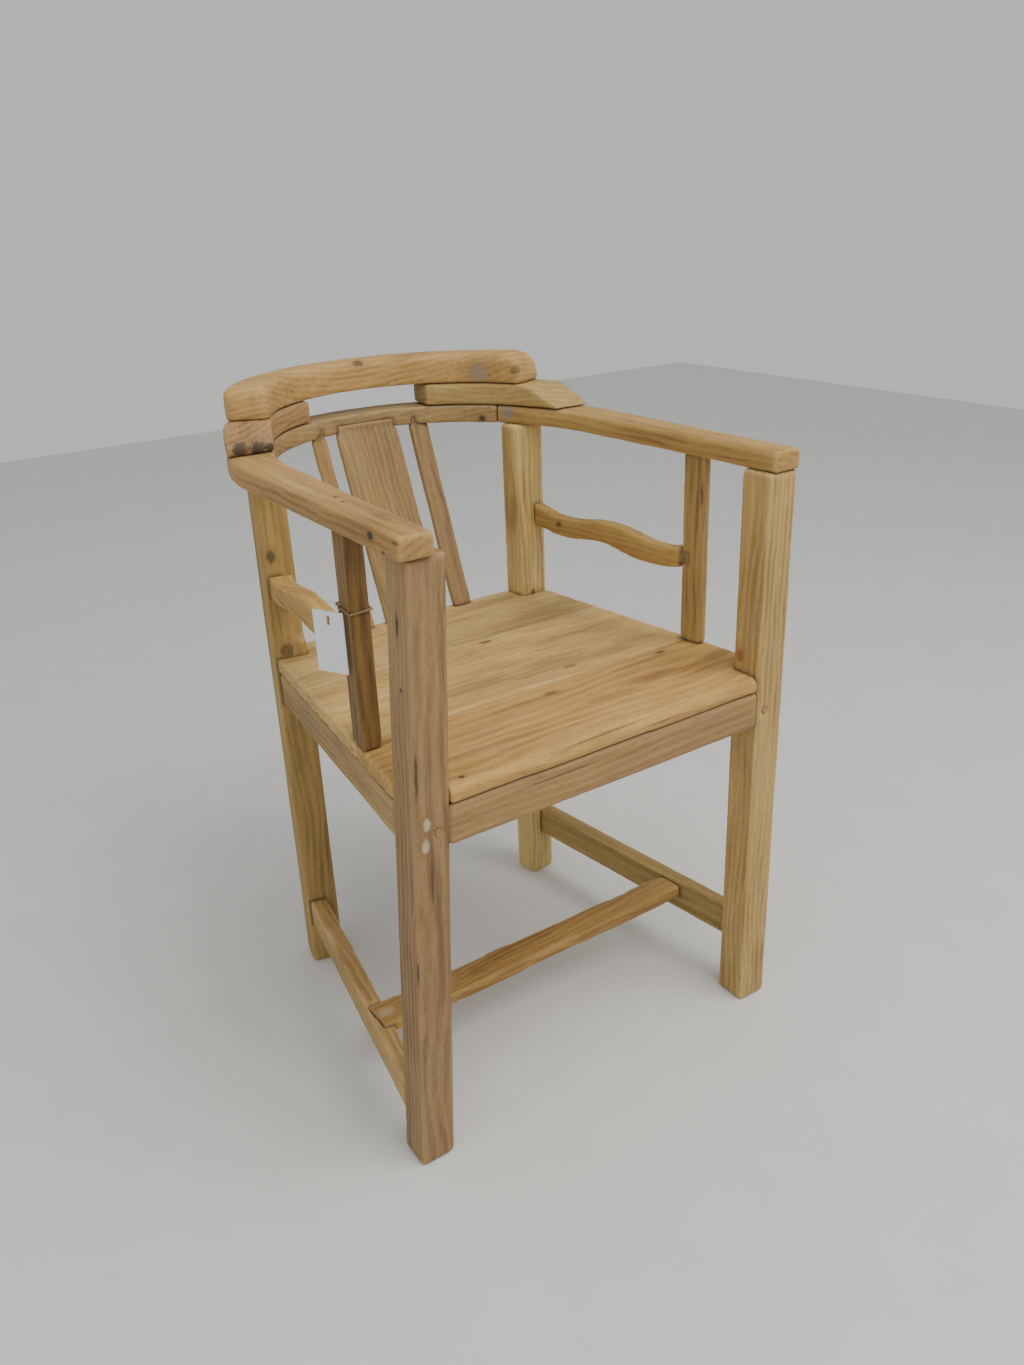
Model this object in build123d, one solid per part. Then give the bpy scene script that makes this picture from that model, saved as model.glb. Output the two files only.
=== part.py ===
from build123d import *
import math
import os

os.makedirs("parts", exist_ok=True)

# Reclaimed teak horseshoe-back armchair. Millimetres, +Z up, the sitter faces -Y,
# the sitter's left hand is +X. The front faces of the front posts are at y = 0
# while modelling; everything is moved by (shift_x, shift_y) when it is written.

# heights
seat_h = 455.0
board_t = 18.0
apron_bottom = 393.0
arm_z = 686.0
arm_t = 23.0
block_t = 28.5
crest_t = 37.5
rail_top = arm_z + arm_t
block_top = rail_top + block_t
crest_top = block_top + crest_t
crest_end_left = 29.0
crest_end_right = 11.0

# plan
depth = 441.0
half_front = 244.0
half_back = 202.0
post_f = (40.5, 41.5)
post_b = (42.0, 38.0)
back_turn = {1: 7.0, -1: 13.0}
post_round = 2.5
foot_chamfer = 2.0
lean_x = 0.040
lean_y = -0.025
shift_x = 8.8
shift_y = -278.0

# horseshoe plan: inner and outer circles of the bent back
inner_r = 184.0
inner_c = 342.5
outer_r = 244.0
outer_c = 324.5
joint_angle = 32.5
flare_angle = 20.0
arm_front_left = -2.0
arm_front_right = -12.0
arm_w = 36.5

# rails, stiles and stretchers
apron_t = 22.0
back_apron_t = 20.0
tenon_t = 10.0
stile_left = (117.0, 148.5, 0.8, 15.0)
stile_right = (116.0, 151.0, 1.5, 23.5)
wavy_t = {1: (17.0, 17.0), -1: (28.0, 20.0)}
str_w = 22.0
cross_left = (125.0, 160.0)
cross_right = (133.0, 178.0)
cross_h = (19.5, 13.0)

# hang tag and its twine
tag_w = 36.0
tag_h = 64.0
tag_t = 0.6
twine_r = 1.2


def box(x0, x1, y0, y1, z0, z1):
    return Pos((x0 + x1) / 2, (y0 + y1) / 2, (z0 + z1) / 2) * Box(x1 - x0, y1 - y0, z1 - z0)


def prism(points, z0, z1):
    face = make_face(Polyline(*points, close=True).edges())
    return Pos(0, 0, z0) * extrude(face, amount=z1 - z0, dir=(0, 0, 1))


def loft_quads(quad_a, quad_b):
    """Six-sided solid between two four-cornered outlines."""
    faces = []
    for quad in (quad_a, quad_b):
        faces.append(make_face(Polyline(*quad, close=True).edges()))
    return loft(faces, ruled=True)


def side_x(y):
    """Outer face of the seat side at depth y, on the sitter's left."""
    t = (y - post_f[1]) / (depth - post_b[1] - post_f[1])
    return half_front + (half_back - half_front) * t


def along_side(side, y0, y1, in0, in1, z0, z1):
    """Board whose outer and inner faces follow the tapering side of the seat."""
    pts = []
    for y, inset in ((y0, in0), (y1, in0), (y1, in1), (y0, in1)):
        pts.append((side * (side_x(y) - inset), y, 0))
    return prism(pts, z0, z1)


def keep(solid):
    """The largest solid of a result, without stray slivers."""
    parts = sorted(solid.solids(), key=lambda s: s.volume)
    return parts[-1]


# ---------------------------------------------------------------- posts
def rounded_post(x0, x1, y0, y1, z1, drift, round_r):
    outline = Pos((x0 + x1) / 2, (y0 + y1) / 2) * RectangleRounded(x1 - x0, y1 - y0, round_r)
    way = (drift[0], drift[1], 1.0)
    start = Pos(-drift[0] * seat_h, -drift[1] * seat_h, 0) * outline
    # the way is not upright, so the length along it is a little over z1
    return extrude(start.face(), amount=z1 * Vector(*way).length, dir=way)


def square_post(x0, x1, y0, y1, z0, z1, drift):
    """The same post with sharp edges, used to cut the shoulders that meet it."""
    quads = []
    for z in (z0, z1):
        ox = drift[0] * (z - seat_h)
        oy = drift[1] * (z - seat_h)
        corners = ((x0, y0), (x1, y0), (x1, y1), (x0, y1))
        quads.append([(x + ox, y + oy, z) for x, y in corners])
    return loft_quads(quads[0], quads[1])


def eased_foot(post):
    low = post.faces().sort_by(Axis.Z)[0]
    return chamfer(low.edges(), foot_chamfer)


drift_r = (lean_x, lean_y)
straight = (0.0, 0.0)
fx0 = half_front - post_f[0]
bx0 = half_back - post_b[0]
by0 = depth - post_b[1]

front_post = {
    1: rounded_post(fx0, half_front, 0, post_f[1], arm_z, straight, post_round),
    -1: rounded_post(-half_front, -fx0, 0, post_f[1], arm_z, drift_r, post_round),
}
front_sharp = {
    1: square_post(fx0, half_front, 0, post_f[1], 0, arm_z, straight),
    -1: square_post(-half_front, -fx0, 0, post_f[1], 0, arm_z, drift_r),
}
back_post = {}
back_sharp = {}
# depth of the inner front chamfer of each back post at the arm and just over the seat
cham_back = {1: (13.0, 1.5), -1: (26.0, 13.0)}


def turned(solid, side):
    """A back post turned about its own axis until it follows the tapering side of the seat."""
    cx = side * (half_back - post_b[0] / 2)
    cy = depth - post_b[1] / 2
    return Pos(cx, cy) * Rot(0, 0, side * back_turn[side]) * Pos(-cx, -cy) * solid


for side in (1, -1):
    front_post[side] = eased_foot(front_post[side])
    xa, xb = sorted((side * bx0, side * half_back))
    post = rounded_post(xa, xb, by0, depth, arm_z, straight, post_round)
    # wide hand-cut chamfer on the inner front corner, running out at the seat
    top_c, low_c = cham_back[side]
    top_tri = [(side * (bx0 - 1), by0 - 1, arm_z + 1), (side * (bx0 - 1), by0 + top_c, arm_z + 1),
               (side * (bx0 + 27), by0 - 1, arm_z + 1)]
    low_tri = [(side * (bx0 - 1), by0 - 1, seat_h + 20), (side * (bx0 - 1), by0 + low_c, seat_h + 20),
               (side * (bx0 + 17), by0 - 1, seat_h + 20)]
    sections = []
    for tri in (low_tri, top_tri):
        sections.append(make_face(Polyline(*tri, close=True).edges()))
    post = keep(post - loft(sections, ruled=True))
    back_post[side] = turned(eased_foot(post), side)
    back_sharp[side] = turned(box(xa, xb, by0, depth, 0, arm_z), side)

# ---------------------------------------------------------------- horseshoe outline
def on_inner(deg):
    a = math.radians(deg)
    return (inner_r * math.cos(a), inner_c + inner_r * math.sin(a), 0)


def outer_point(deg):
    """Where the ray at this angle from the inner centre meets the outer circle."""
    a = math.radians(deg)
    dy = inner_c - outer_c
    b = dy * math.sin(a)
    r = -b + math.sqrt(b * b + outer_r ** 2 - dy ** 2)
    return (r * math.cos(a), inner_c + r * math.sin(a), 0)


def arm_outer_x(y):
    return half_front + (outer_r - half_front) * y / outer_c


def arm_face(side, y_front):
    """Plan of one arm from its front end to the joint with the back rail."""
    tip_out = (side * arm_outer_x(y_front), y_front, 0)
    tip_in = (side * (arm_outer_x(y_front) - arm_w), y_front, 0)
    shoulder = (side * outer_r, outer_c, 0)
    out_end = outer_point(joint_angle)
    out_mid = outer_point(joint_angle / 2)
    in_end = on_inner(joint_angle)
    in_mid = on_inner((joint_angle + flare_angle) / 2)
    in_flare = on_inner(flare_angle)
    fa = math.radians(flare_angle)
    edges = [
        Line(tip_out, shoulder),
        ThreePointArc(shoulder, (side * out_mid[0], out_mid[1], 0), (side * out_end[0], out_end[1], 0)),
        Line((side * out_end[0], out_end[1], 0), (side * in_end[0], in_end[1], 0)),
        ThreePointArc((side * in_end[0], in_end[1], 0), (side * in_mid[0], in_mid[1], 0),
                      (side * in_flare[0], in_flare[1], 0)),
        Spline((side * in_flare[0], in_flare[1], 0), (side * 190.5, 353, 0), (side * 197.5, 275, 0),
               tip_in, tangents=[(side * math.sin(fa), -math.cos(fa), 0), (side * 0.02, -1, 0)]),
        Line(tip_in, tip_out),
    ]
    return make_face(edges)


def band(deg0, deg1, slant=0.0):
    """Curved bar in plan from a radial cut to an end cut whose outer corner is slant further round."""
    ring = Pos(0, outer_c) * Circle(outer_r) - Pos(0, inner_c) * Circle(inner_r)
    reach = 600.0
    pts = [(0, inner_c, 0)]
    for k in range(7):
        a = math.radians(deg0 + (deg1 - deg0) * k / 6)
        pts.append((reach * math.cos(a), inner_c + reach * math.sin(a), 0))
    if slant:
        far = outer_point(deg1 + slant)
        near = on_inner(deg1)
        pts.append((near[0] + 4 * (far[0] - near[0]), near[1] + 4 * (far[1] - near[1]), 0))
        pts.append(near)
    wedge = make_face(Polyline(*pts, close=True).edges())
    return ring & wedge


def up(face, z0, z1):
    return Pos(0, 0, z0) * extrude(face, amount=z1 - z0, dir=(0, 0, 1))


arm = {}
for side, y_front in ((1, arm_front_left), (-1, arm_front_right)):
    arm[side] = up(arm_face(side, y_front), arm_z, rail_top)

back_rail = keep(up(band(joint_angle, 180 - joint_angle), arm_z, rail_top))

# shoulder blocks: the arm outline again, cut to length, with a sloping front end
block_spec = {
    # side: (inner end angle, slant of that end, front face y, front face height, y where the slope ends)
    1: (62.0, 4.0, 355.0, 3.5, 402.0),
    -1: (65.0, 0.0, 381.5, 12.5, 424.0),
}
block = {}
for side in (1, -1):
    end_deg, slant, y_face, face_h, y_slope = block_spec[side]
    arc_part = band(joint_angle, end_deg, slant)
    if side < 0:
        arc_part = mirror(arc_part, about=Plane.YZ)
    whole = arm_face(side, 0.0) + arc_part
    solid = keep(up(whole, rail_top, block_top) & box(-400, 400, y_face, 700, rail_top, block_top))
    slope = [(0, y_face - 5, rail_top + face_h - 5 * (block_t - face_h) / (y_slope - y_face)),
             (0, y_slope, block_top), (0, y_slope, block_top + 40), (0, y_face - 5, block_top + 40)]
    wedge = make_face(Polyline(*slope, close=True).edges())
    wedge = Pos(-400, 0, 0) * extrude(wedge, amount=800, dir=(1, 0, 0))
    block[side] = keep(solid - wedge)

crest = keep(up(band(21.5, 155.0), block_top, crest_top))


def long_edges(solid, z, span=60.0):
    picked = []
    for e in solid.edges():
        if abs(e.center().Z - z) < 0.01 and e.length > span:
            picked.append(e)
    return picked


# both ends drop away in a hand-rounded corner before the long edges are eased
for end, drop in ((1, crest_end_left), (-1, crest_end_right)):
    short = [e for e in crest.edges()
             if abs(e.center().Z - crest_top) < 0.01 and e.length < 90 and e.center().X * end > 0]
    crest = keep(fillet(short, drop))
crest = fillet(long_edges(crest, crest_top, 200), 12.0)

# ---------------------------------------------------------------- aprons
def tenoned(rail, tenons, hosts):
    """Join tenons to a rail and cut their mortises in the posts that take them."""
    for tenon, group, key in tenons:
        rail = rail + tenon
        hosts[group][key] = hosts[group][key] - tenon
    return rail


hosts = {"f": front_post, "b": back_post, "arm": arm}
z_ten = (apron_bottom + 6, seat_h - board_t - 6)

front_apron = box(-fx0 - 6, fx0 + 2, 0, apron_t, apron_bottom, seat_h - board_t)
front_apron = keep(front_apron - front_sharp[1] - front_sharp[-1])
tens = []
for side in (1, -1):
    xa, xb = sorted((side * (fx0 - 8), side * (fx0 + 22)))
    tens.append((box(xa, xb, 6, 6 + tenon_t, *z_ten), "f", side))
front_apron = keep(tenoned(front_apron, tens, hosts))

back_y = (depth - 4.0 - back_apron_t, depth - 4.0)
back_apron = box(-bx0 - 7, bx0 + 7, back_y[0], back_y[1], apron_bottom, seat_h - board_t)
back_apron = keep(back_apron - back_sharp[1] - back_sharp[-1])
tens = []
for side in (1, -1):
    xa, xb = sorted((side * (bx0 - 8), side * (bx0 + 20)))
    tens.append((box(xa, xb, back_y[0] + 5, back_y[0] + 5 + tenon_t, *z_ten), "b", side))
back_apron = keep(tenoned(back_apron, tens, hosts))

side_apron = {}
for side in (1, -1):
    rail = along_side(side, post_f[1] - 4, by0 + 8, 0, apron_t, apron_bottom, seat_h - board_t)
    rail = keep(rail - front_sharp[side] - back_sharp[side])
    tens = [
        (along_side(side, 21, 60, 6, 6 + tenon_t, *z_ten), "f", side),
        (along_side(side, by0 - 20, by0 + 17, 6, 6 + tenon_t, *z_ten), "b", side),
    ]
    side_apron[side] = keep(tenoned(rail, tens, hosts))

# ---------------------------------------------------------------- seat boards
seat_pts = []
for side in (1, -1):
    row = [(side * fx0, 0), (side * fx0, post_f[1]), (side * half_front, post_f[1]),
           (side * (side_x(by0 + 5) + 0.5), by0 + 5), (side * (bx0 + 4), by0 + 5),
           (side * (bx0 + 4), depth - 3.0)]
    seat_pts += row if side > 0 else row[::-1]
seat = prism([(x, y, 0) for x, y in seat_pts], seat_h - board_t, seat_h)
seat = keep(seat - front_sharp[-1] - back_sharp[1] - back_sharp[-1])
seam_y = (140.0, 298.0)
gap = 0.4
cuts = ((-5, seam_y[0] - gap / 2), (seam_y[0] + gap / 2, seam_y[1] - gap / 2), (seam_y[1] + gap / 2, depth + 5))
boards = []
for y0, y1 in cuts:
    boards.append(keep(seat & box(-300, 300, y0, y1, seat_h - board_t, seat_h)))
front_edge = [e for e in boards[0].edges()
              if abs(e.center().Y) < 0.01 and abs(e.center().Z - seat_h) < 0.01 and e.length > 100]
boards[0] = fillet(front_edge, 9.0)

# ---------------------------------------------------------------- back slats
slat_spec = {
    # left and right face, front face at the back rail, thickness
    "splat": (-40.0, 48.5, 520.0, 8.5),
    "slat_right": (-77.5, -56.5, 514.0, 9.0),
    "slat_left": (64.5, 91.0, 511.0, 13.0),
}
slat_foot = 424.0
slats = {}
for name, (x0, x1, y_top, slat_t) in slat_spec.items():
    profile = [(0, slat_foot, seat_h), (0, slat_foot + slat_t, seat_h),
               (0, y_top + slat_t, arm_z), (0, y_top, arm_z)]
    face = make_face(Polyline(*profile, close=True).edges())
    body = Pos(x0, 0, 0) * extrude(face, amount=x1 - x0, dir=(1, 0, 0))
    foot = box(x0 + 3, x1 - 3, slat_foot + 2.5, slat_foot + slat_t - 1.5, seat_h - 12, seat_h + 3)
    head = box(x0 + 3, x1 - 3, y_top + 1.5, y_top + slat_t - 2.5, arm_z - 3, arm_z + 12)
    boards[2] = boards[2] - foot
    back_rail = back_rail - head
    slats[name] = keep(body + foot + head)

# ---------------------------------------------------------------- arm stiles and wavy rails
stile = {}
for side, spec in ((1, stile_left), (-1, stile_right)):
    y0, y1, in0, in1 = spec
    body = along_side(side, y0, y1, in0, in1, seat_h, arm_z)
    foot = along_side(side, y0 + 9, y1 - 9, in0 + 4.5, in1 - 4.5, seat_h - 12, seat_h + 8)
    head = along_side(side, y0 + 9, y1 - 9, in0 + 4.5, in1 - 4.5, arm_z - 8, arm_z + 12)
    stile[side] = keep(body + foot + head)
    arm[side] = arm[side] - head
    for k in (0, 1):
        if (foot & boards[k]) is not None:
            boards[k] = boards[k] - foot

# the serpentine rails are drawn along the side of the seat and cut between post and stile:
# depth y, height of the top edge, height of the lower edge
wave = {
    1: ((412.0, 583.0, 551.0), (396.0, 578.5, 549.5), (342.0, 570.0, 544.0), (277.0, 578.5, 550.5),
        (225.0, 573.5, 542.0), (186.0, 567.5, 541.0), (150.0, 572.5, 545.5)),
    -1: ((412.0, 562.0, 534.0), (396.0, 558.5, 530.0), (365.0, 558.0, 532.5), (290.0, 568.5, 540.0),
         (252.0, 569.0, 538.5), (200.0, 565.0, 535.0), (152.0, 563.5, 535.0)),
}
wavy = {}
for side, spec in ((1, stile_left), (-1, stile_right)):
    y_rear = by0
    y_front = spec[1]
    in_rear = 2.0
    in_front = spec[2] + 0.5
    top_pts = []
    low_pts = []
    for y, z_top, z_low in wave[side]:
        top_pts.append((0, y, z_top))
        low_pts.append((0, y, z_low))
    edges = [Spline(*top_pts), Line(top_pts[-1], low_pts[-1]), Spline(*low_pts[::-1]), Line(low_pts[0], top_pts[0])]
    sheet = make_face(edges)
    slab = Pos(-400, 0, 0) * extrude(sheet, amount=800, dir=(1, 0, 0))
    plan = []
    y_end = y_rear + 8
    t_rear, t_front = wavy_t[side]
    for y, inset in ((y_front, in_front), (y_end, in_rear), (y_end, in_rear + t_rear), (y_front, in_front + t_front)):
        plan.append((side * (side_x(y) - inset), y, 0))
    rail = keep((slab & prism(plan, seat_h, arm_z)) - back_sharp[side])
    z_rear = (wave[side][0][1] + wave[side][0][2]) / 2
    z_front = (wave[side][-1][1] + wave[side][-1][2]) / 2
    xr = side * (side_x(y_rear) - in_rear - t_rear / 2)
    xf = side * (side_x(y_front) - in_front - t_front / 2)
    rear_ten = box(xr - 4, xr + 4, y_rear - 8, y_rear + 14, z_rear - 8, z_rear + 8)
    front_ten = box(xf - 4, xf + 4, y_front - 12, y_front + 8, z_front - 7, z_front + 7)
    rail = keep(rail + rear_ten + front_ten)
    back_post[side] = back_post[side] - rear_ten
    stile[side] = keep(stile[side] - front_ten)
    wavy[side] = rail

# ---------------------------------------------------------------- stretchers
stretcher = {}
str_spec = {
    # side: (z bottom and top at the back post, z bottom and top at the front post)
    1: (67.0, 108.0, 67.0, 108.0),
    -1: (62.0, 101.0, 47.0, 91.0),
}
for side in (1, -1):
    zr0, zr1, zf0, zf1 = str_spec[side]
    low = (zf0 + zf1) / 2 - seat_h
    ox = lean_x * low if side < 0 else 0.0
    xo_f = half_front - 1.0 if side > 0 else half_front - ox
    y_f = post_f[1] - 4
    quads = []
    for y, xo, z0, z1 in ((by0 + 8, half_back - 1.9, zr0, zr1), (y_f, xo_f, zf0, zf1)):
        xi = xo - str_w
        quads.append([(side * xo, y, z0), (side * xi, y, z0), (side * xi, y, z1), (side * xo, y, z1)])
    body = loft_quads(quads[0], quads[1])
    body = keep(body - front_sharp[side] - back_sharp[side])
    xr = side * (half_back - 1.0 - str_w / 2)
    xf = side * (xo_f - str_w / 2)
    rear_ten = box(xr - 5, xr + 5, by0 - 6, by0 + 20, zr0 + 7, zr1 - 7)
    y_ten = post_f[1] + (lean_y * low if side < 0 else 0.0)
    front_ten = box(xf - 5, xf + 5, y_ten - 20, y_ten + 8, zf0 + 9, zf1 - 9)
    back_post[side] = back_post[side] - rear_ten
    front_post[side] = front_post[side] - front_ten
    stretcher[side] = keep(body + rear_ten + front_ten)

# cross stretcher: tenoned into the left side stretcher, lapped into the top of the right one
def str_inner(side, y):
    zr0, zr1, zf0, zf1 = str_spec[side]
    ox = lean_x * ((zf0 + zf1) / 2 - seat_h) if side < 0 else 0.0
    xo_f = half_front - 1.0 if side > 0 else half_front - ox
    t = (y - (post_f[1] - 4)) / (by0 - (post_f[1] - 4))
    x_out = xo_f + (half_back - 1.0 - xo_f) * t
    top = zf1 + (zr1 - zf1) * t
    return (x_out - str_w, top)


xl, top_l = str_inner(1, sum(cross_left) / 2)
xr, top_r = str_inner(-1, sum(cross_right) / 2)
top_l -= 1.0
quads = []
for x, top, h, (ya, yb) in ((-xr - 30, top_r, cross_h[1], cross_right), (xl + 12, top_l, cross_h[0], cross_left)):
    quads.append([(x, ya, top - h), (x, yb, top - h), (x, yb, top), (x, ya, top)])
cross = loft_quads(quads[0], quads[1])
shape_l = keep(cross - stretcher[1])
cross = shape_l
# stop the lap short of the outer face of the right stretcher
lap_stop = -xr - 0.72 * str_w
cross = keep(cross & box(lap_stop, 400, 0, 400, 0, 200))
stretcher[-1] = keep(stretcher[-1] - cross)
ten = box(xl - 10, xl + 14, cross_left[0] + 7, cross_left[1] - 7, top_l - cross_h[0] + 4, top_l - 5)
cross = keep(cross + ten)
stretcher[1] = keep(stretcher[1] - ten)

# ---------------------------------------------------------------- top joints
for side in (1, -1):
    for group, key, cx, cy in ((front_post, side, 0, 0), (back_post, side, 0, 0)):
        if group is front_post:
            off = 9.0 if side < 0 else 0.0
            px = side * (half_front - post_f[0] / 2) + off
            py = post_f[1] / 2 + (-5.5 if side < 0 else 0.0)
        else:
            px = side * (half_back - 17.0)
            py = depth - 18.0
        ten = box(px - 8, px + 8, py - 8, py + 8, arm_z - 6, arm_z + 13)
        group[key] = keep(group[key] + ten)
        arm[side] = arm[side] - ten
    a = math.radians(joint_angle)
    # tongue of the back rail in the end of the arm
    mid_r = (inner_r + outer_r + 4) / 2 + 2
    ctr = Vector(side * mid_r * math.cos(a), inner_c + mid_r * math.sin(a), 0)
    tongue = Box(15, 44, 8)
    turn = joint_angle if side > 0 else -joint_angle
    tongue = Pos(ctr.X, ctr.Y, arm_z + arm_t - 6) * Rot(0, 0, turn) * tongue
    back_rail = back_rail + tongue
    arm[side] = keep(arm[side] - tongue)
back_rail = keep(back_rail)

# dowels that hold the blocks to the arms and the crest to the blocks
dowel_r = 5.0
dowels = {"block_dowels": [], "crest_dowels": []}
for side in (1, -1):
    for deg, group in ((18.0, "block_dowels"), (50.0, "block_dowels"), (33.0, "crest_dowels"), (57.0, "crest_dowels")):
        p = on_inner(deg)
        out = 24.0 if deg > 20 else 27.0
        k = (inner_r + out) / inner_r
        x = side * p[0] * k
        y = inner_c + (p[1] - inner_c) * k
        if group == "block_dowels":
            z0, z1 = arm_z + 14, rail_top + 14
        else:
            z0, z1 = block_top - 14, block_top + 16
        pin = Pos(x, y, (z0 + z1) / 2) * Cylinder(dowel_r, z1 - z0)
        dowels[group].append(pin)
        block[side] = keep(block[side] - pin)
        if group == "block_dowels":
            arm[side] = keep(arm[side] - pin)
            back_rail = keep(back_rail - pin)
        else:
            crest = keep(crest - pin)

# face pegs through the front posts into the apron tenons
pegs = []
peg_r = 4.0
peg_z = 412.0
for side in (1, -1):
    ox = lean_x * (peg_z - seat_h) if side < 0 else 0.0
    oy = lean_y * (peg_z - seat_h) if side < 0 else 0.0
    x = side * (fx0 + 13) + ox
    pin = Pos(x, oy + 9.0, peg_z) * Rot(90, 0, 0) * Cylinder(peg_r, 18.0)
    pegs.append(pin)
    front_post[side] = keep(front_post[side] - pin)
    front_apron = keep(front_apron - pin)

# ---------------------------------------------------------------- easing of visible edges
def eased(solid, edges, r):
    return fillet(edges, r) if edges else solid


for side in (1, -1):
    arm_long = [e for e in arm[side].edges()
                if abs(e.center().Z - rail_top) < 0.01 and e.length > 150 and e.center().Y < 300]
    arm[side] = eased(arm[side], arm_long, 4.0)

# ---------------------------------------------------------------- tag and twine
tag_dir = Vector(0.47, -0.883, 0)
tag_out = Vector(-0.883, -0.47, 0)
hole = Vector(-246.0, 140.0, 596.0)
tag_plane = Plane(origin=hole, x_dir=tag_dir, z_dir=tag_out)
tag_sketch = Pos(0, -tag_h / 2 + 7, 0) * Rectangle(tag_w, tag_h) - Circle(2.2)
tag = extrude(tag_plane * tag_sketch, amount=tag_t)

y0, y1, in0, in1 = stile_right
loop_z = 604.0
off = twine_r + 0.05
path_pts = []
for y, inset in ((y0 - off, in0 - off), (y1 + off, in0 - off), (y1 + off, in1 + off), (y0 - off, in1 + off)):
    path_pts.append((-(side_x(y) - inset), y, loop_z))
loop_path = FilletPolyline(*path_pts, radius=1.6, close=True)
ring = sweep(Plane(origin=loop_path @ 0, z_dir=loop_path % 0) * Circle(twine_r), path=loop_path)
knot_at = Vector(-(side_x(y1) - in0) - 3.6, y1 - 12, loop_z - 3.0)
knot = Pos(knot_at.X, knot_at.Y, knot_at.Z) * Sphere(3.4)
tail_pts = [(knot_at.X, knot_at.Y, knot_at.Z), (knot_at.X - 3.0, knot_at.Y + 2.0, knot_at.Z - 7.0),
            (hole.X - 0.2, hole.Y - 0.1, hole.Z + 0.5)]
tail_path = Spline(*tail_pts)
tail = sweep(Plane(origin=tail_path @ 0, z_dir=tail_path % 0) * Circle(1.5), path=tail_path)
twine = ring + knot + tail
twine = twine - stile[-1] - tag

# ---------------------------------------------------------------- write
nodes = {
    "front_post_left": front_post[1],
    "front_post_right": front_post[-1],
    "back_post_left": back_post[1],
    "back_post_right": back_post[-1],
    "front_apron": front_apron,
    "back_apron": back_apron,
    "side_apron_left": side_apron[1],
    "side_apron_right": side_apron[-1],
    "seat_board_front": boards[0],
    "seat_board_middle": boards[1],
    "seat_board_rear": boards[2],
    "arm_left": arm[1],
    "arm_right": arm[-1],
    "back_rail": back_rail,
    "shoulder_block_left": block[1],
    "shoulder_block_right": block[-1],
    "crest_rail": crest,
    "splat": slats["splat"],
    "slat_left": slats["slat_left"],
    "slat_right": slats["slat_right"],
    "arm_stile_left": stile[1],
    "arm_stile_right": stile[-1],
    "wavy_rail_left": wavy[1],
    "wavy_rail_right": wavy[-1],
    "side_stretcher_left": stretcher[1],
    "side_stretcher_right": stretcher[-1],
    "cross_stretcher": cross,
    "block_dowels": Compound(children=dowels["block_dowels"]),
    "crest_dowels": Compound(children=dowels["crest_dowels"]),
    "apron_pegs": Compound(children=pegs),
    "tag_twine": twine,
    "hang_tag": tag,
}
for name, shape in nodes.items():
    export_step(Pos(shift_x, shift_y, 0) * shape, "parts/" + name + ".step")
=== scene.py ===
import bpy, bmesh, math, random
import numpy as np
from mathutils import Vector, Matrix, noise
from mathutils.bvhtree import BVHTree


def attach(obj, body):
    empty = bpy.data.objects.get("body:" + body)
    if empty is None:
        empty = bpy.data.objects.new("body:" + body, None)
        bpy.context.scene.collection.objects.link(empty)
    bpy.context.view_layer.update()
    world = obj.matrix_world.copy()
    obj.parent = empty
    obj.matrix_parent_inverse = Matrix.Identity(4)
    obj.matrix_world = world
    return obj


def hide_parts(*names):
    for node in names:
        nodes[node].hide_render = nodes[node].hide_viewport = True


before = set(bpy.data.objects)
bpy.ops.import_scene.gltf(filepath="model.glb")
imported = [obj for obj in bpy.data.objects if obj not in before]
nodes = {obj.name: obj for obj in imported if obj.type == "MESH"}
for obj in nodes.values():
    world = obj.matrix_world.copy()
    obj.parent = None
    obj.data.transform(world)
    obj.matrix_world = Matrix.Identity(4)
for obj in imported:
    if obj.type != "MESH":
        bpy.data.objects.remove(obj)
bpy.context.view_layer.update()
MM = 1000
VOXEL = 0.003
SEAM_REACH = 0.0032
BOX_MARGIN = 0.005
WELD = 1e-5

# ------------------------------------------------------------ camera
CAM_AT = Vector((-0.6463, -1.0727, 0.9648))
YAW, PITCH, ROLL = map(math.radians, (33.4827, -23.8632, -2.3221))
LENS = 29.25
SENSOR = 36
fwd = Vector((math.sin(YAW) * math.cos(PITCH), math.cos(YAW) * math.cos(PITCH), math.sin(PITCH)))
right = Vector((math.cos(YAW), -math.sin(YAW), 0))
up = right.cross(fwd)
right, up = right * math.cos(ROLL) + up * math.sin(ROLL), -right * math.sin(ROLL) + up * math.cos(ROLL)


def camera():
    data = bpy.data.cameras.new("camera")
    data.sensor_fit = "VERTICAL"
    data.sensor_height = SENSOR
    data.lens = LENS
    cam = bpy.data.objects.new("camera", data)
    cam.matrix_world = Matrix.Translation(CAM_AT) @ Matrix((right, up, -fwd)).transposed().to_4x4()
    bpy.context.scene.collection.objects.link(cam)
    bpy.context.scene.camera = cam


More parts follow.
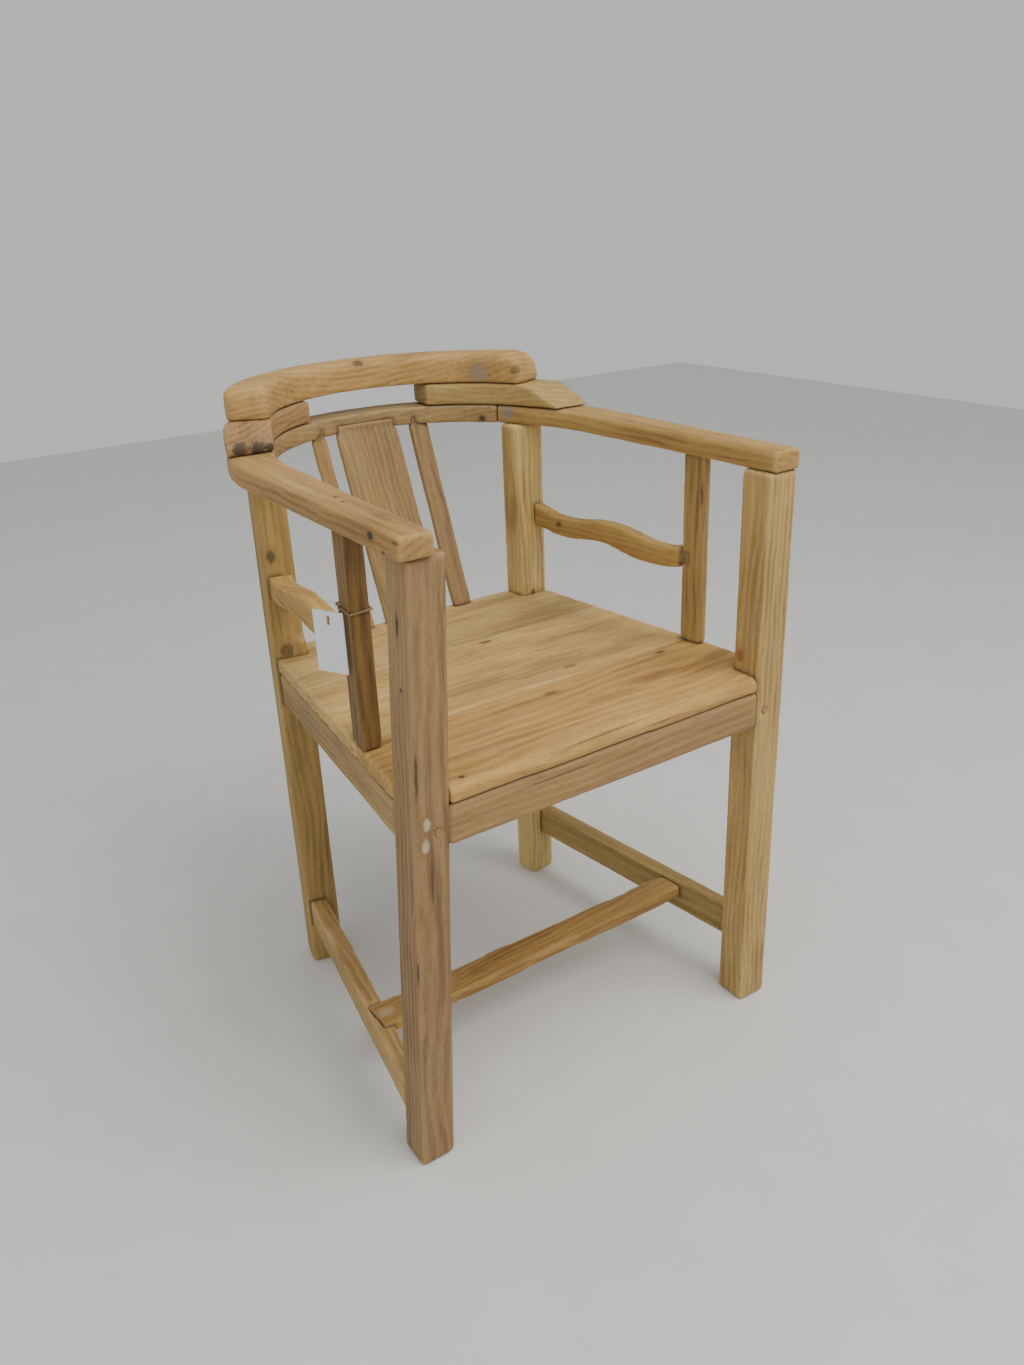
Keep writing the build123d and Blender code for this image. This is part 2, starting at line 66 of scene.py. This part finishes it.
# ------------------------------------------------------------ grain direction and colour of each piece
UP = (0, 0, 1)
TAPER = 0.116
PALE, HONEY, TAN, PINK, OLIVE, BROWN, GREY = "pale", "honey", "tan", "pink", "olive", "brown", "grey"
WOODS = {
    "front_post_left": (UP, TAN), "front_post_right": ((0.04, -0.025, 1), PINK),
    "back_post_left": (UP, OLIVE), "back_post_right": (UP, TAN),
    "front_apron": ((1, 0, 0), PINK), "back_apron": ((1, 0, 0), OLIVE),
    "side_apron_left": ((-TAPER, 1, 0), TAN), "side_apron_right": ((TAPER, 1, 0), TAN),
    "seat_board_front": ((1, 0.02, 0), HONEY), "seat_board_middle": ((1, -0.02, 0), PALE),
    "seat_board_rear": ((1, 0.01, 0), TAN),
    "arm_left": ((0.0, 1, 0), HONEY), "arm_right": ((0.0, 1, 0), HONEY),
    "back_rail": ((1, 0, 0), GREY),
    "shoulder_block_left": ((-0.6, 0.8, 0), OLIVE), "shoulder_block_right": ((0.6, 0.8, 0), PINK),
    "crest_rail": ((1, 0, 0), HONEY),
    "splat": ((0, 0.385, 1), GREY), "slat_left": ((0, 0.35, 1), GREY), "slat_right": ((0, 0.36, 1), TAN),
    "arm_stile_left": (UP, BROWN), "arm_stile_right": (UP, BROWN),
    "wavy_rail_left": ((-TAPER, 1, 0), TAN), "wavy_rail_right": ((TAPER, 1, 0), HONEY),
    "side_stretcher_left": ((-TAPER, 1, 0), OLIVE), "side_stretcher_right": ((TAPER, 1, 0), TAN),
    "cross_stretcher": ((1, 0, 0), HONEY),
}
# dark, middle and light tone
TONES = {
    "pale": ((0.25, 0.150, 0.072), (0.42, 0.272, 0.138), (0.56, 0.390, 0.215)),
    "honey": ((0.24, 0.132, 0.055), (0.44, 0.270, 0.122), (0.58, 0.395, 0.200)),
    "tan": ((0.19, 0.118, 0.055), (0.34, 0.222, 0.112), (0.46, 0.320, 0.175)),
    "pink": ((0.19, 0.110, 0.060), (0.36, 0.222, 0.128), (0.48, 0.322, 0.200)),
    "olive": ((0.17, 0.116, 0.048), (0.32, 0.226, 0.102), (0.43, 0.318, 0.155)),
    "brown": ((0.11, 0.062, 0.030), (0.24, 0.146, 0.072), (0.34, 0.222, 0.120)),
    "grey": ((0.16, 0.106, 0.062), (0.31, 0.214, 0.128), (0.42, 0.305, 0.195)),
}
# how much each piece is lighter or warmer than its tone
GAIN = {
    "seat_board_front": (1.30, 1.22, 0.74), "seat_board_middle": (1.52, 1.50, 0.96),
    "seat_board_rear": (1.68, 1.70, 1.20), "front_post_right": (1.00, 0.97, 0.69),
    "front_apron": (1.08, 1.01, 0.66), "arm_left": (1.07, 1.05, 0.66), "arm_right": (1.05, 0.99, 0.68),
    "crest_rail": (1.20, 1.15, 0.80), "back_rail": (1.25, 1.20, 0.80),
    "shoulder_block_left": (1.38, 1.30, 0.95),
    "shoulder_block_right": (1.20, 1.12, 0.78), "front_post_left": (1.66, 1.66, 1.12),
    "back_post_left": (2.15, 2.15, 1.70), "back_post_right": (1.20, 1.18, 0.68),
    "cross_stretcher": (1.05, 0.97, 0.59),
    "side_stretcher_left": (1.28, 1.22, 0.85), "side_stretcher_right": (1.60, 1.52, 1.08),
    "side_apron_right": (1.25, 1.20, 0.86), "side_apron_left": (1.25, 1.20, 0.86),
    "back_apron": (1.25, 1.20, 0.86),
    "splat": (1.10, 1.00, 0.64), "slat_left": (1.02, 0.91, 0.62), "slat_right": (1.10, 1.00, 0.66),
    "arm_stile_right": (1.13, 1.02, 0.52), "arm_stile_left": (1.90, 1.98, 1.30),
    "wavy_rail_left": (1.40, 1.32, 0.72), "wavy_rail_right": (1.22, 1.16, 0.70),
}


def grain_axes(direction):
    u = Vector(direction).normalized()
    hint = Vector((1, 0, 0)) if abs(u.z) > 0.7 else Vector((0, 0, 1))
    w = (hint - u * hint.dot(u)).normalized()
    return Matrix((u, w.cross(u), w))


def tree_of(ob):
    me = ob.data
    return BVHTree.FromPolygons([v.co.copy() for v in me.vertices], [tuple(p.vertices) for p in me.polygons])


trees = {n: tree_of(ob) for n, ob in nodes.items()}


def corners(ob):
    """The lowest and highest x, y and z of a node."""
    points = np.array([v.co[:] for v in ob.data.vertices])
    return points.min(axis=0), points.max(axis=0)


boxes = {n: corners(ob) for n, ob in nodes.items()}


def on_surface(name, place):
    """The point of a piece's surface nearest to a place given in millimetres."""
    return trees[name].find_nearest(Vector(place) / MM)[0]


# ------------------------------------------------------------ knots, cracks, fillings and stains
DARK = (0.05, 0.03, 0.018)
FILL = (0.50, 0.42, 0.27)
BURNT = (0.02, 0.016, 0.014)
ASH = (0.22, 0.19, 0.15)
RUST = (0.30, 0.10, 0.035)
# for each piece: place in mm, radius in mm, stretch along the grain, colour, strength
MARKS = {
    "front_post_right": (
        ((-222, -277, 425), 4.5, 1.6, FILL, 0.9), ((-225, -277, 402), 4.5, 1.8, FILL, 0.9),
        ((-229, -263, 622), 2.6, 4.5, DARK, 0.9), ((-231, -265, 562), 2.2, 1.0, DARK, 0.9),
        ((-230, -279, 479), 1.8, 16.0, DARK, 0.8), ((-243, -272, 258), 1.8, 12.0, DARK, 0.8),
        ((-220, -276, 363), 1.6, 20.0, DARK, 0.6)),
    "arm_right": (
        ((-235, -240, 700), 4.0, 1.6, BURNT, 0.9), ((-213, -130, 709), 2.4, 1.3, DARK, 0.8),
        ((-216, -152, 709), 2.2, 1.3, DARK, 0.8), ((-235, -262, 689), 2.4, 1.3, DARK, 0.8),
        ((-235, -288, 703), 2.0, 6.0, DARK, 0.5)),
    "crest_rail": (
        ((13, 252, 771), 6.0, 1.5, DARK, 0.75), ((150, 182, 751), 13.0, 1.5, ASH, 0.6),
        ((179, 139, 755), 6.5, 1.3, DARK, 0.6)),
    "back_rail": (((152, 180, 692), 4.5, 1.4, DARK, 0.85),),
    "arm_left": (((172, 150, 701), 11.0, 1.0, ASH, 0.7),),
    "shoulder_block_right": (
        ((-213, 104, 717), 9.0, 1.6, BURNT, 0.85), ((-192, 104, 715), 10.0, 1.6, BURNT, 0.85),
        ((-178, 104, 714), 6.0, 1.3, BURNT, 0.8)),
    "seat_board_middle": (
        ((34, 12, 455), 5.0, 2.0, DARK, 0.7), ((69, -115, 455), 5.0, 2.2, DARK, 0.5)),
    "seat_board_front": (
        ((7, -163, 455), 5.0, 2.2, DARK, 0.55), ((178, -150, 455), 4.5, 1.8, DARK, 0.7),
        ((-174, -265, 455), 3.0, 1.4, DARK, 0.9), ((-13, -275, 453), 1.4, 45.0, DARK, 0.6),
        ((65, -278, 445), 1.2, 36.0, DARK, 0.5)),
    "back_post_left": (((187, 124, 456), 4.0, 1.6, DARK, 0.7),),
    "front_post_left": (((212, -247, 473), 6.0, 1.4, RUST, 0.75),),
    "back_post_right": (
        ((-185, 127, 583), 6.0, 1.5, DARK, 0.75), ((-180, 126, 464), 9.0, 1.0, DARK, 0.6)),
    "wavy_rail_left": (((198, 76, 560), 4.0, 1.4, DARK, 0.7),),
    "arm_stile_left": (((229, -159, 639), 1.8, 9.0, DARK, 0.8),),
    "side_stretcher_right": (((-214, -18, 97), 1.5, 30.0, DARK, 0.75),),
    "cross_stretcher": (((-213, -123, 95), 8.0, 1.6, FILL, 0.5),),
    "front_apron": (((-67, -278, 426), 1.3, 40.0, DARK, 0.6),),
}


# ------------------------------------------------------------ wood
class Net:
    def __init__(self, name):
        self.mat = bpy.data.materials.new(name)
        self.mat.use_nodes = True
        self.tree = self.mat.node_tree
        self.tree.nodes.clear()

    def add(self, kind, **values):
        node = self.tree.nodes.new(kind)
        for key, value in values.items():
            setattr(node, key, value)
        return node

    def put(self, value, socket):
        if isinstance(value, bpy.types.NodeSocket):
            self.tree.links.new(value, socket)
        else:
            socket.default_value = value

    def math(self, op, a, b=0.0):
        node = self.add("ShaderNodeMath", operation=op)
        self.put(a, node.inputs[0])
        self.put(b, node.inputs[1])
        return node.outputs[0]

    def vec(self, op, a, b):
        node = self.add("ShaderNodeVectorMath", operation=op)
        self.put(a, node.inputs[0])
        self.put(b, node.inputs[1])
        return node.outputs["Value"] if op in ("LENGTH", "DISTANCE") else node.outputs["Vector"]

    def noise(self, vector, detail=4.0, rough=0.55, color=False):
        node = self.add("ShaderNodeTexNoise")
        self.put(vector, node.inputs["Vector"])
        node.inputs["Scale"].default_value = 1.0
        node.inputs["Detail"].default_value = detail
        node.inputs["Roughness"].default_value = rough
        return node.outputs[1 if color else 0]

    def span(self, value, low, high, out0=0.0, out1=1.0):
        node = self.add("ShaderNodeMapRange", interpolation_type="SMOOTHSTEP")
        self.put(value, node.inputs["Value"])
        for key, number in (("From Min", low), ("From Max", high), ("To Min", out0), ("To Max", out1)):
            node.inputs[key].default_value = number
        return node.outputs[0]

    def mix(self, fac, a, b, blend="MIX"):
        node = self.add("ShaderNodeMixRGB", blend_type=blend)
        self.put(fac, node.inputs[0])
        for value, socket in ((a, node.inputs[1]), (b, node.inputs[2])):
            self.put((*value, 1) if isinstance(value, tuple) else value, socket)
        return node.outputs[0]

    def attribute(self, name, vector=False):
        node = self.add("ShaderNodeAttribute", attribute_name=name)
        return node.outputs["Vector" if vector else "Fac"]

    def finish(self, color, rough, height, strength=0.4, depth=0.0006):
        bump = self.add("ShaderNodeBump")
        bump.inputs["Strength"].default_value = strength
        bump.inputs["Distance"].default_value = depth
        self.put(height, bump.inputs["Height"])
        shader = self.add("ShaderNodeBsdfPrincipled")
        self.put(color, shader.inputs["Base Color"])
        self.put(rough, shader.inputs["Roughness"])
        self.tree.links.new(bump.outputs[0], shader.inputs["Normal"])
        out = self.add("ShaderNodeOutputMaterial")
        self.tree.links.new(shader.outputs[0], out.inputs[0])
        return self.mat


def wood(name, tone, seed, turn=None, spots=()):
    rnd = random.Random(seed)
    gain = GAIN.get(name, (1.2, 1.15, 0.8))
    dark, mid, light = [tuple(min(0.8, c * g / 1.15) for c, g in zip(t, gain)) for t in TONES[tone]]
    n = Net("wood_" + name)
    if turn is None:
        grain = n.add("ShaderNodeTexCoord").outputs["Object"]
        edge, seam = 0.0, 0.0
    else:
        grain, edge, seam = n.attribute("grain", True), n.attribute("edge"), n.attribute("seam")
    shift = tuple(rnd.uniform(-20, 20) for _ in range(3))
    moved = n.vec("ADD", grain, shift)
    warp = n.noise(n.vec("MULTIPLY", moved, (5.0, 14.0, 14.0)), 2.0, 0.5, True)
    warp = n.vec("MULTIPLY", n.vec("SUBTRACT", warp, (0.5, 0.5, 0.5)), (0.0, 0.022, 0.022))
    bent = n.vec("ADD", moved, warp)
    aside = rnd.choice((-1, 1)) * rnd.uniform(0.03, 0.09)
    below = rnd.uniform(-0.05, -0.02)
    pith = (0.0, shift[1] + aside, shift[2] + below)
    flat = n.vec("MULTIPLY", n.vec("SUBTRACT", bent, pith), (0.012, 1.0, 1.0))
    ring = n.vec("LENGTH", flat, (0, 0, 0))
    lines = n.math("SINE", n.math("MULTIPLY", ring, 2 * math.pi / rnd.uniform(0.0055, 0.0085)))
    lines = n.span(lines, -0.6, 1.0)
    patch = n.noise(n.vec("MULTIPLY", moved, (3.5, 17.0, 17.0)), 3.0, 0.6)
    streak = n.noise(n.vec("MULTIPLY", bent, (7.0, 190.0, 190.0)), 5.0, 0.62)
    fibre = n.noise(n.vec("MULTIPLY", bent, (26.0, 850.0, 850.0)), 3.0, 0.6)
    pores = n.span(n.noise(n.vec("MULTIPLY", bent, (60.0, 1150.0, 1150.0)), 1.0), 0.60, 0.70)
    mass = n.math("ADD", n.math("MULTIPLY", lines, 0.10), n.math("MULTIPLY", patch, 0.62))
    mass = n.math("ADD", mass, n.math("MULTIPLY", streak, 0.50))
    mass = n.math("ADD", mass, n.math("MULTIPLY", fibre, 0.22))
    color = n.mix(n.span(mass, 0.50, 0.76), dark, mid)
    color = n.mix(n.span(mass, 0.72, 1.02), color, light)
    veins = n.span(n.noise(n.vec("MULTIPLY", bent, (4.0, 120.0, 120.0)), 2.0), 0.62, 0.76, 0.0, 0.45)
    color = n.mix(veins, color, dark)
    color = n.mix(n.math("MULTIPLY", pores, 0.35), color, tuple(c * 0.45 for c in dark))
    weather = n.span(n.noise(n.vec("MULTIPLY", moved, (9.0, 26.0, 26.0)), 4.0), 0.55, 0.80, 0.0, 0.35)
    color = n.mix(weather, color, (0.30, 0.235, 0.155))
    if turn is not None:
        color = n.mix(n.span(edge, 0.10, 0.60, 0.0, 0.40), color, tuple(min(c * 1.18, 1) for c in light))
        # darkens the wood near other pieces: partly real grime in the joints, partly painted shade between
        # parts in place of occlusion
        joint_grime_and_painted_shade = n.math("MULTIPLY", seam, n.span(patch, 0.30, 0.65, 0.10, 0.70))
        color = n.mix(joint_grime_and_painted_shade, color, (0.075, 0.048, 0.028))
    height = n.math("ADD", streak, n.math("MULTIPLY", fibre, 0.5))
    height = n.math("SUBTRACT", height, n.math("MULTIPLY", pores, 0.8))
    rough = n.span(streak, 0.25, 0.75, 0.60, 0.82)
    rag = n.noise(n.vec("MULTIPLY", moved, (160.0, 340.0, 340.0)), 3.0)
    for spot, size, stretch, tint, strength in spots:
        size /= MM
        away = n.vec("SUBTRACT", grain, tuple(turn @ on_surface(name, spot)))
        ratio = n.vec("MULTIPLY", away, (1 / (size * stretch), 1 / size, 1 / size))
        ragged = n.math("MULTIPLY", n.math("SUBTRACT", rag, 0.5), 1.1)
        far = n.math("ADD", n.vec("LENGTH", ratio, (0, 0, 0)), ragged)
        halo = n.span(far, 1.0, 2.6, 0.35 * strength, 0.0)
        core = n.span(far, 0.55, 1.15, strength, 0.0)
        color = n.mix(halo, color, dark)
        color = n.mix(core, color, tint)
        height = n.math("SUBTRACT", height, n.math("MULTIPLY", core, 1.2))
    return n.finish(color, rough, height)


NO_SEAM = ("hang_tag", "tag_twine", "block_dowels", "crest_dowels", "apron_pegs")


def worn(name, direction, tone, seed):
    """The piece again, with rounded worn edges, a slightly uneven surface and its own wood."""
    turn = grain_axes(direction)
    ob = bpy.data.objects.new(name + "_worn", nodes[name].data.copy())
    bpy.context.scene.collection.objects.link(ob)
    bm = bmesh.new()
    bm.from_mesh(ob.data)
    bmesh.ops.remove_doubles(bm, verts=bm.verts, dist=WELD)
    bm.to_mesh(ob.data)
    bm.free()
    ob.data.transform(turn.to_4x4())
    mod = ob.modifiers.new("remesh", "REMESH")
    mod.mode = "VOXEL"
    mod.voxel_size = VOXEL
    view = bpy.context.evaluated_depsgraph_get()
    mesh = bpy.data.meshes.new_from_object(ob.evaluated_get(view))
    ob.modifiers.clear()
    ob.data = mesh
    count = len(mesh.vertices)
    co = np.empty(count * 3)
    mesh.vertices.foreach_get("co", co)
    co = co.reshape(-1, 3)
    pairs = np.empty(len(mesh.edges) * 2, dtype=np.int64)
    mesh.edges.foreach_get("vertices", pairs)
    pairs = pairs.reshape(-1, 2)
    near = np.bincount(pairs.ravel(), minlength=count)[:, None]

    def spread(values):
        total = np.zeros_like(values)
        np.add.at(total, pairs[:, 0], values[pairs[:, 1]])
        np.add.at(total, pairs[:, 1], values[pairs[:, 0]])
        return total / near

    for _ in range(2):
        co += 0.45 * (spread(co) - co)
    normal = np.empty(count * 3)
    mesh.vertices.foreach_set("co", co.ravel())
    mesh.update()
    mesh.vertices.foreach_get("normal", normal)
    normal = normal.reshape(-1, 3)
    convex = -np.sum((spread(co) - co) * normal, axis=1) / VOXEL * 4
    for _ in range(2):
        convex = 0.5 * convex + 0.5 * spread(convex[:, None])[:, 0]
    edge = np.clip(convex, 0, 1)
    lift = np.empty(count)
    for i, p in enumerate(co):
        v = Vector((p[0] * 9 + seed, p[1] * 30, p[2] * 30))
        wide = noise.noise(v)
        nick = noise.noise(Vector((p[0] * 55, p[1] * 80 + seed, p[2] * 80)))
        lift[i] = 0.00045 * wide - edge[i] * (0.0004 + 0.0016 * max(0.0, nick))
    co += normal * lift[:, None]
    mesh.vertices.foreach_set("co", co.ravel())
    grain = co.copy()
    mesh.transform(turn.to_4x4().inverted())
    world = np.empty(count * 3)
    mesh.vertices.foreach_get("co", world)
    world = world.reshape(-1, 3)
    # seam: closeness to other pieces, the mask for joint grime and painted shade between parts
    seam = np.zeros(count)
    for other, tree in trees.items():
        if other == name or other in NO_SEAM:
            continue
        low, high = boxes[other]
        inside = np.all((world > low - BOX_MARGIN) & (world < high + BOX_MARGIN), axis=1)
        for i in np.nonzero(inside)[0]:
            found = tree.find_nearest(Vector(world[i]), SEAM_REACH)
            if found[0] is not None:
                seam[i] = max(seam[i], 1 - found[3] / SEAM_REACH)
    layers = (("grain", "FLOAT_VECTOR", "vector", grain), ("edge", "FLOAT", "value", edge),
              ("seam", "FLOAT", "value", seam))
    for key, kind, field, values in layers:
        layer = mesh.attributes.new(key, kind, "POINT")
        layer.data.foreach_set(field, np.asarray(values, dtype=np.float32).ravel())
    for poly in mesh.polygons:
        poly.use_smooth = True
    mesh.materials.clear()
    mesh.materials.append(wood(name, tone, seed, turn, MARKS.get(name, ())))
    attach(ob, "root")
    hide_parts(name)
    return ob


for index, (name, (direction, tone)) in enumerate(WOODS.items()):
    worn(name, direction, tone, 11 + 7 * index)


def dress(name, material):
    nodes[name].data.materials.clear()
    nodes[name].data.materials.append(material)


for name in ("block_dowels", "crest_dowels", "apron_pegs"):
    dress(name, wood(name, TAN, 5))

# ------------------------------------------------------------ paper tag
card = Net("tag_card")
where = card.add("ShaderNodeTexCoord").outputs["Object"]
pulp = card.noise(card.vec("MULTIPLY", where, (900.0, 900.0, 900.0)), 4.0)
stain = card.noise(card.vec("MULTIPLY", where, (40.0, 40.0, 40.0)), 3.0)
paper = card.mix(card.span(pulp, 0.3, 0.7), (0.74, 0.76, 0.78), (0.83, 0.84, 0.86))
paper = card.mix(card.span(stain, 0.5, 0.8, 0.0, 0.25), paper, (0.66, 0.63, 0.56))
dress("hang_tag", card.finish(paper, card.span(pulp, 0.2, 0.8, 0.5, 0.7), pulp, 0.15, 0.0002))

# ------------------------------------------------------------ twisted twine
jute = Net("twine")
where = jute.add("ShaderNodeTexCoord").outputs["Object"]
hair = jute.noise(jute.vec("MULTIPLY", where, (1800.0, 1800.0, 700.0)), 4.0)
jute_color = jute.mix(jute.span(hair, 0.3, 0.7), (0.16, 0.095, 0.045), (0.44, 0.30, 0.165))
jute_mat = jute.finish(jute_color, jute.span(hair, 0.2, 0.8, 0.8, 0.95), hair, 0.6, 0.0004)


def strands(name, path, radius, closed, pitch=0.0055):
    """Three plies laid round a path."""
    pts = [Vector(at) for at in path]
    if closed:
        pts.append(pts[0])
    fine = []
    for a, b in zip(pts, pts[1:]):
        steps = max(2, int((b - a).length / 0.0005))
        fine += [a.lerp(b, k / steps) for k in range(steps)]
    fine.append(pts[-1])
    data = bpy.data.curves.new(name, "CURVE")
    data.dimensions = "3D"
    data.bevel_depth = radius * 0.52
    data.bevel_resolution = 2
    for ply in range(3):
        spline = data.splines.new("POLY")
        spline.points.add(len(fine) - 1)
        run = 0.0
        for i, p in enumerate(fine):
            way = (fine[min(i + 1, len(fine) - 1)] - fine[max(i - 1, 0)]).normalized()
            if i:
                run += (p - fine[i - 1]).length
            side = way.cross(Vector((0.1, 0.2, 1))).normalized()
            other = way.cross(side)
            angle = 2 * math.pi * (run / pitch + ply / 3)
            at = p + (side * math.cos(angle) + other * math.sin(angle)) * radius * 0.5
            spline.points[i].co = (*at, 1)
    curve = bpy.data.objects.new(name + "_curve", data)
    bpy.context.scene.collection.objects.link(curve)
    view = bpy.context.evaluated_depsgraph_get()
    mesh = bpy.data.meshes.new_from_object(curve.evaluated_get(view))
    bpy.data.objects.remove(curve)
    ob = bpy.data.objects.new(name, mesh)
    bpy.context.scene.collection.objects.link(ob)
    mesh.materials.clear()
    mesh.materials.append(jute_mat)
    for poly in mesh.polygons:
        poly.use_smooth = True
    return ob


def place(x, y, z):
    return ((x + 8.8) / 1000, (y - 278.0) / 1000, z / 1000)


def side_x(y):
    return 244 - 42 * (y - 41.5) / 361.5


# depth, distance inside the outer face of the seat side, and height of the loop's points, in mm
LOOP = (
    (114.8, 0.3, 603), (128, 0.0, 603.4), (140, 0.0, 602.6), (152.2, 0.3, 603.8), (152.4, 12, 605.5),
    (152.2, 24.6, 605), (134, 24.9, 604), (114.8, 24.6, 604), (114.6, 12, 603.4),
)
loop = [place(-(side_x(y) - inset), y, z) for y, inset, z in LOOP]
kx, ky, kz = -(side_x(151) - 1.5) - 3.0, 139.0, 601.0
bow = []
for k in range(26):
    a = k / 25 * 4 * math.pi
    bow.append(place(kx + 1.6 * math.cos(a), ky + 2.4 * math.sin(a), kz + 2.2 * math.sin(a * 0.5 + 0.4)))
tail = [
    place(kx, ky, kz - 1), place(kx - 2.2, ky + 1.4, kz - 4), place(-245.4, 139.8, 597.5),
    place(-246.3, 139.6, 594.0), place(-246.9, 139.2, 589.5),
]
for name, path, radius, closed in (("twine_loop", loop, 0.0012, True), ("twine_knot", bow, 0.0012, False),
                                   ("twine_tail", tail, 0.0013, False)):
    piece = strands(name, path, radius, closed)
    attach(piece, "root")
    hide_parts("tag_twine")

# ------------------------------------------------------------ floor and light
bpy.ops.mesh.primitive_plane_add(size=8)
floor = bpy.context.object
floor.name = "floor"
fl = Net("floor_plain")
fl_where = fl.add("ShaderNodeTexCoord").outputs["Object"]
fl_n = fl.noise(fl.vec("MULTIPLY", fl_where, (12.0, 12.0, 12.0)), 4.0)
fl_color = fl.mix(fl_n, (0.66, 0.655, 0.64), (0.72, 0.715, 0.70))
floor.data.materials.append(fl.finish(fl_color, 0.85, fl_n, 0.05, 0.0005))


def lamp(name, at, size, power, tint):
    data = bpy.data.lights.new(name, "AREA")
    data.size = size
    data.energy = power
    data.color = tint
    ob = bpy.data.objects.new(name, data)
    ob.location = at
    ob.rotation_euler = (Vector((0, 0, 0.4)) - Vector(at)).to_track_quat("-Z", "Y").to_euler()
    bpy.context.scene.collection.objects.link(ob)


lamp("key", (0.5, -1.3, 2.6), 1.8, 54.0, (1.0, 0.985, 0.95))
lamp("fill", (-2.0, -0.8, 1.6), 2.0, 10.0, (0.95, 0.98, 1.0))
world = bpy.data.worlds.new("world")
bpy.context.scene.world = world
world.use_nodes = True
world.node_tree.nodes["Background"].inputs[0].default_value = (0.93, 0.94, 0.92, 1)
world.node_tree.nodes["Background"].inputs[1].default_value = 0.64

camera()
